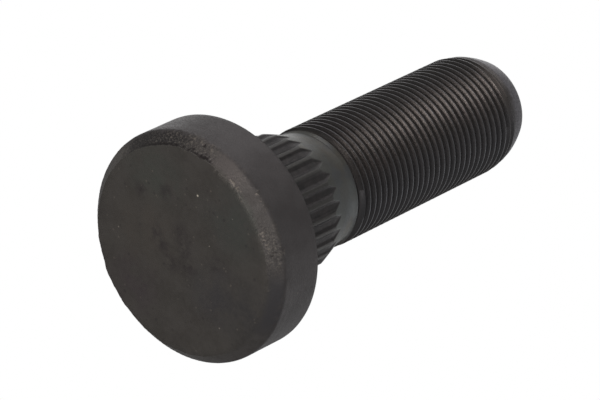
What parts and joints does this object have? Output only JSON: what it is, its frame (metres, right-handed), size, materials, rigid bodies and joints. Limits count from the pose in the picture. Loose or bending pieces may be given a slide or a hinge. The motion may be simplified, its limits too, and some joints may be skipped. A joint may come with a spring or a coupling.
{
  "type": "wheel bolt",
  "caption": "Press-in wheel bolt with a round flat head, a knurled collar, a plain shank and a fine thread; pressed into a hub flange, it carries the wheel nut.",
  "frame": {"origin": "centre of the flat face of the head, on which the bolt stands", "axes": "+Z along the bolt from the head to the threaded end, +X through the middle of a groove of the knurl"},
  "size_m": [0.0414, 0.0414, 0.0845],
  "materials": {
    "steel": "black oxide, satin, with a rough forged rim"
  },
  "bodies": {
    "root": {"wheel_bolt": "steel"}
  },
  "joints": []
}
